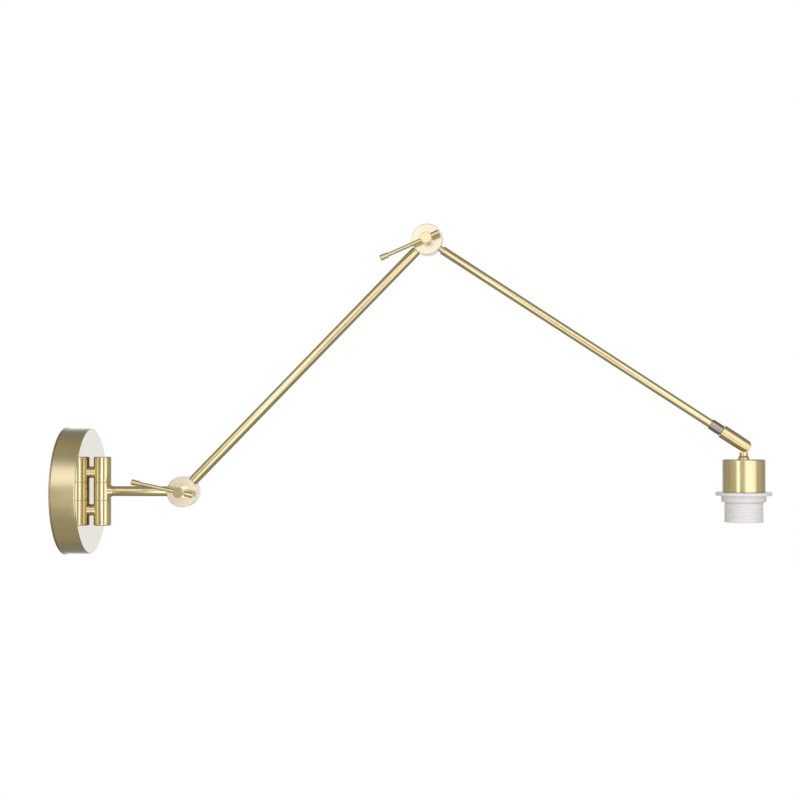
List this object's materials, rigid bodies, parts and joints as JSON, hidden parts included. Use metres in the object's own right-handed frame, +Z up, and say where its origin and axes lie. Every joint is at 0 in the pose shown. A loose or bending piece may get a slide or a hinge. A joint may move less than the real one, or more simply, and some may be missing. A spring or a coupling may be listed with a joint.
{
  "type": "articulating wall lamp",
  "caption": "Wall lamp on a round canopy: a barrel swivel, clamp-jointed brass arms and a turning, tilting E27 lampholder with a shade ring.",
  "frame": {"origin": "centre of the canopy's back face, on the wall", "axes": "+X away from the wall, +Z up, -Y towards the side that the clamp screws face"},
  "size_m": [0.7294, 0.133, 0.3416],
  "materials": {
    "polished_brass": "polished, unlacquered",
    "satin_brass": "fine satin",
    "raw_brass": "as machined",
    "dark_bronze": "darkened, satin",
    "zinc_steel": "zinc plated",
    "dark_steel": "blackened",
    "white_plastic": "smooth white",
    "washer_plastic": "natural"
  },
  "bodies": {
    "wall_mount": {"canopy_base_ring": "satin_brass", "wall_bracket": "zinc_steel", "bracket_rivets": "zinc_steel", "canopy": "polished_brass", "canopy_screws": "dark_steel", "terminal_block": "white_plastic", "terminal_screws": "zinc_steel", "earth_screw": "zinc_steel", "earth_washer": "zinc_steel", "knuckle_standoffs": "polished_brass", "standoff_washers": "zinc_steel", "standoff_nuts": "raw_brass", "upper_knuckle": "polished_brass", "lower_knuckle": "polished_brass", "swivel_tube_pin": "raw_brass", "barrel_caps": "polished_brass", "swivel_washers": "washer_plastic"},
    "swing_arm": {"swing_knuckle": "polished_brass", "swing_tube": "polished_brass", "shoulder_back_disc": "satin_brass", "shoulder_washer": "washer_plastic"},
    "shoulder_clamp": {"shoulder_clamp_screw": "polished_brass", "shoulder_clamp_bar": "polished_brass", "shoulder_bar_tips": "polished_brass"},
    "lower_arm": {"shoulder_front_disc": "satin_brass", "lower_tube": "polished_brass", "elbow_front_disc": "satin_brass"},
    "upper_arm": {"elbow_back_disc": "satin_brass", "elbow_washer": "washer_plastic", "upper_tube": "polished_brass", "head_collar": "dark_bronze", "turn_retaining_ring": "dark_steel"},
    "elbow_clamp": {"elbow_clamp_screw": "polished_brass", "elbow_clamp_bar": "polished_brass", "elbow_bar_tips": "polished_brass"},
    "head_swivel": {"head_fork": "polished_brass", "tilt_screw": "raw_brass", "tilt_washers": "washer_plastic"},
    "lamp_head": {"head_tongue": "polished_brass", "head_cone": "polished_brass", "lampholder_cup": "polished_brass", "cup_locknut": "zinc_steel", "lampholder_cap": "white_plastic", "lampholder_skirt": "white_plastic", "lampholder_insert": "white_plastic", "screw_shell": "raw_brass", "centre_contact": "raw_brass", "shell_contact": "raw_brass", "contact_screws": "zinc_steel"},
    "shade_ring": {"shade_ring": "white_plastic"}
  },
  "joints": [
    {"name": "wall_swivel", "type": "hinge", "parent": "wall_mount", "child": "swing_arm", "pos_m": [0.0385, 0, 0], "axis": [0, 0, 1], "range_deg": [-60, 90]},
    {"name": "shoulder", "type": "hinge", "parent": "swing_arm", "child": "lower_arm", "pos_m": [0.1258, -0.0115, 0], "axis": [0, 1, 0], "range_deg": [-44.4, 90.6]},
    {"name": "elbow", "type": "hinge", "parent": "lower_arm", "child": "upper_arm", "pos_m": [0.37978, 0, 0.25935], "axis": [0, 1, 0], "range_deg": [-78.85, 81.15]},
    {"name": "shoulder_clamp_turn", "type": "hinge", "parent": "swing_arm", "child": "shoulder_clamp", "pos_m": [0.1258, -0.02825, 0], "axis": [0, 1, 0], "range_deg": [-90, 90]},
    {"name": "elbow_clamp_turn", "type": "hinge", "parent": "upper_arm", "child": "elbow_clamp", "pos_m": [0.37978, -0.02825, 0.25935], "axis": [0, 1, 0], "range_deg": [-90, 90]},
    {"name": "head_turn", "type": "hinge", "parent": "upper_arm", "child": "head_swivel", "pos_m": [0.70091, 0, 0.04881], "axis": [0.8363, 0, -0.5483], "range_deg": [-165, 165]},
    {"name": "head_tilt", "type": "hinge", "parent": "head_swivel", "child": "lamp_head", "pos_m": [0.70091, 0, 0.04881], "axis": [0, 1, 0], "range_deg": [-146.75, 33.25]},
    {"name": "shade_ring_travel", "type": "slide", "parent": "lamp_head", "child": "shade_ring", "axis": [0, 0, -1], "range_m": [0, 0.02]}
  ]
}
